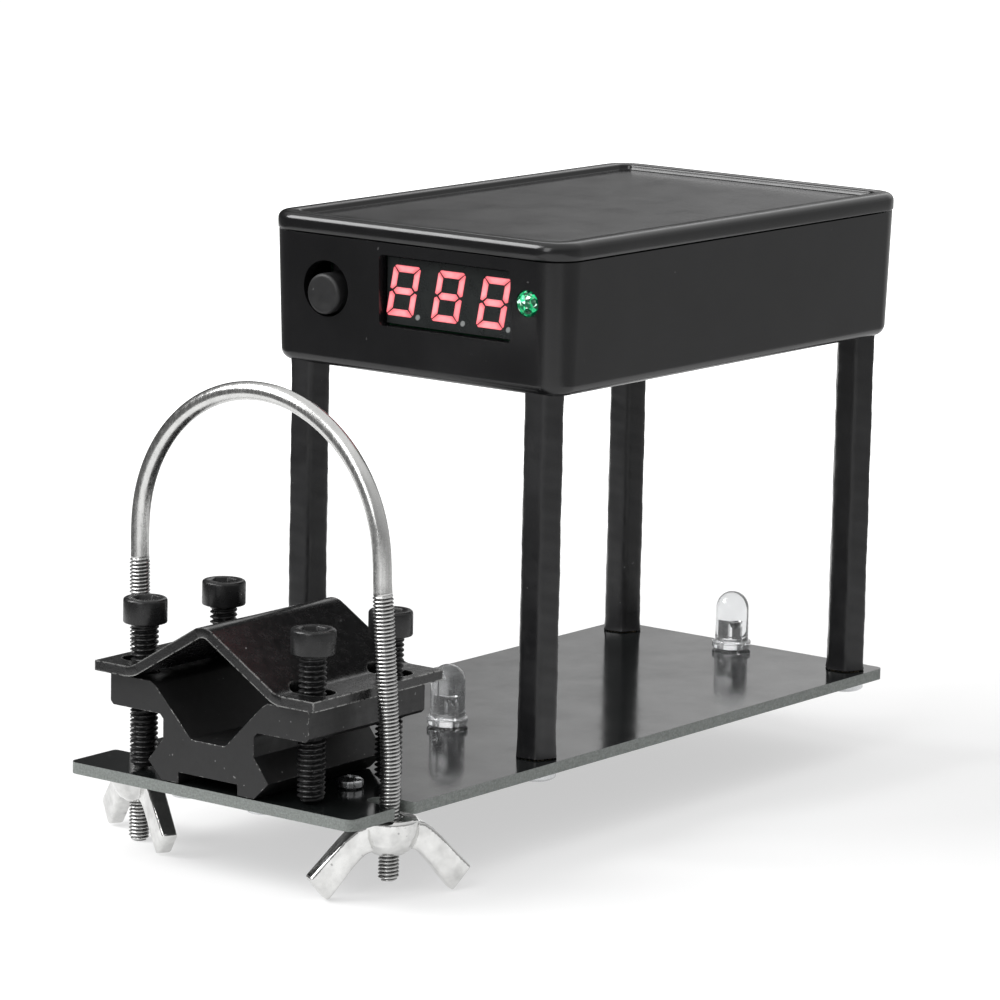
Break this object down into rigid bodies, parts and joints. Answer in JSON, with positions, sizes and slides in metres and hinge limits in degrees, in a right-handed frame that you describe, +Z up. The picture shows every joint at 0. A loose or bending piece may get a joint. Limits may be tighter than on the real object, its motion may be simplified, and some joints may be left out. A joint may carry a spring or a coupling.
{
  "type": "shooting chronograph",
  "caption": "Barrel-mounted shooting chronograph: display case on posts above a base plate with light-beam lamps, a V clamp and a U-bolt with wing nuts.",
  "frame": {"origin": "centre of the base plate's underside", "axes": "+X from the clamp end to the rear along the line of flight, +Y to the left, +Z up out of the plate"},
  "size_m": [0.1268, 0.0614, 0.084],
  "materials": {
    "plate": "glossy black board with a grey-green raw edge",
    "anodised": "black anodised, satin, worn to bare metal at the edges",
    "jaw": "semi-gloss black, worn along its edges",
    "black_oxide": "black oxide, oiled",
    "steel": "bright drawn rod",
    "nickel": "bright plated casting",
    "zinc": "zinc plated",
    "brass": "turned brass",
    "sleeve": "satin shrink sleeve",
    "case": "satin moulded",
    "lid": "satin rim round a smoother panel",
    "button": "matte",
    "clear": "water-clear moulded lens",
    "display": "dark face with lit red digits",
    "green": "clear green lens",
    "board": "green solder mask",
    "chip": "matte moulded",
    "holder": "matte moulded",
    "cell": "wrapped can",
    "red_wire": "insulated wire",
    "black_wire": "insulated wire"
  },
  "bodies": {
    "chassis": {"base_plate": "plate", "clamp_block": "anodised", "standoff_front_right": "brass", "standoff_front_left": "brass", "standoff_rear_right": "brass", "standoff_rear_left": "brass", "sleeve_front_right": "sleeve", "sleeve_front_left": "sleeve", "sleeve_rear_right": "sleeve", "sleeve_rear_left": "sleeve", "plate_screw_1": "zinc", "plate_screw_2": "zinc", "foot_screw_front_right": "zinc", "foot_screw_front_left": "zinc", "foot_screw_rear_right": "zinc", "foot_screw_rear_left": "zinc", "block_screw_1": "zinc", "block_screw_2": "zinc", "block_screw_3": "zinc", "block_screw_4": "zinc", "board_screw_1": "zinc", "board_screw_2": "zinc", "board_screw_3": "zinc", "board_screw_4": "zinc", "emitter_front": "clear", "emitter_rear": "clear", "sensor_front": "chip", "sensor_rear": "chip", "display_socket": "chip", "switch_body": "chip", "controller_chip": "chip", "case_body": "case", "case_lid": "lid", "display": "display", "front_board": "board", "main_board": "board", "status_led": "green", "battery_holder": "holder", "battery_a": "cell", "battery_b": "cell", "lead_red": "red_wire", "lead_black": "black_wire"},
    "jaw": {"clamp_jaw": "jaw"},
    "u_bolt": {"u_bolt": "steel"},
    "right_nut": {"wing_nut_right": "nickel"},
    "left_nut": {"wing_nut_left": "nickel"},
    "button": {"power_button": "button"},
    "screw_front_right": {"clamp_screw_front_right": "black_oxide"},
    "screw_front_left": {"clamp_screw_front_left": "black_oxide"},
    "screw_rear_right": {"clamp_screw_rear_right": "black_oxide"},
    "screw_rear_left": {"clamp_screw_rear_left": "black_oxide"}
  },
  "joints": [
    {"name": "jaw_lift", "type": "slide", "parent": "chassis", "child": "jaw", "axis": [0, 0, 1], "range_m": [0, 0.0045]},
    {"name": "screw_turn_front_right", "type": "hinge", "parent": "chassis", "child": "screw_front_right", "pos_m": [-0.05885, -0.0146, 0.0226], "axis": [0, 0, 1], "range_deg": [-180, 360]},
    {"name": "screw_turn_front_left", "type": "hinge", "parent": "chassis", "child": "screw_front_left", "pos_m": [-0.05885, 0.0146, 0.0226], "axis": [0, 0, 1], "range_deg": [-180, 360]},
    {"name": "screw_turn_rear_right", "type": "hinge", "parent": "chassis", "child": "screw_rear_right", "pos_m": [-0.04265, -0.0146, 0.0226], "axis": [0, 0, 1], "range_deg": [-180, 360]},
    {"name": "screw_turn_rear_left", "type": "hinge", "parent": "chassis", "child": "screw_rear_left", "pos_m": [-0.04265, 0.0146, 0.0226], "axis": [0, 0, 1], "range_deg": [-180, 360]},
    {"name": "right_nut_turn", "type": "hinge", "parent": "chassis", "child": "right_nut", "pos_m": [-0.0514, -0.0219, -0.003], "axis": [0, 0, 1], "range_deg": [-1800, 2880]},
    {"name": "left_nut_turn", "type": "hinge", "parent": "chassis", "child": "left_nut", "pos_m": [-0.0514, 0.0219, -0.003], "axis": [0, 0, 1], "range_deg": [-1800, 2880]},
    {"name": "u_bolt_draw", "type": "slide", "parent": "chassis", "child": "u_bolt", "axis": [0, 0, 1], "range_m": [-0.004, 0.0025]},
    {"name": "button_press", "type": "slide", "parent": "chassis", "child": "button", "axis": [1, 0, 0], "range_m": [0, 0.0015], "stiffness_N_per_m": 400}
  ],
  "couplings": [
    {"joint": "left_nut_turn", "follows": "right_nut_turn", "ratio": 1},
    {"joint": "u_bolt_draw", "follows": "right_nut_turn", "m_per_rad": -0.000079577}
  ]
}
